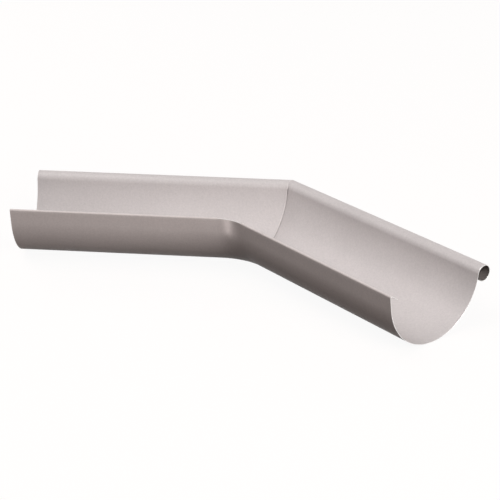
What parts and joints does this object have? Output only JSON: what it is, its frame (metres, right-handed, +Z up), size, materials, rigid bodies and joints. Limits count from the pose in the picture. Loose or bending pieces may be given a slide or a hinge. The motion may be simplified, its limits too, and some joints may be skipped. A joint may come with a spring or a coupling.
{
  "type": "gutter external angle",
  "caption": "Outside corner piece for a half-round eaves gutter, turning it through an obtuse corner, with a rolled front bead, a folded rear lip and open ends.",
  "frame": {"origin": "middle of the plan outline, at the level of the lowest lines of the two troughs", "axes": "+X across the corner with the mitre in the plane X = 0, +Y away from the building to the beaded front, +Z up"},
  "size_m": [0.5726, 0.2522, 0.0712],
  "materials": {
    "coated_steel": "semi-gloss metallic silver-grey organic coating on both faces"
  },
  "bodies": {
    "root": {"gutter_angle": "coated_steel"}
  },
  "joints": []
}
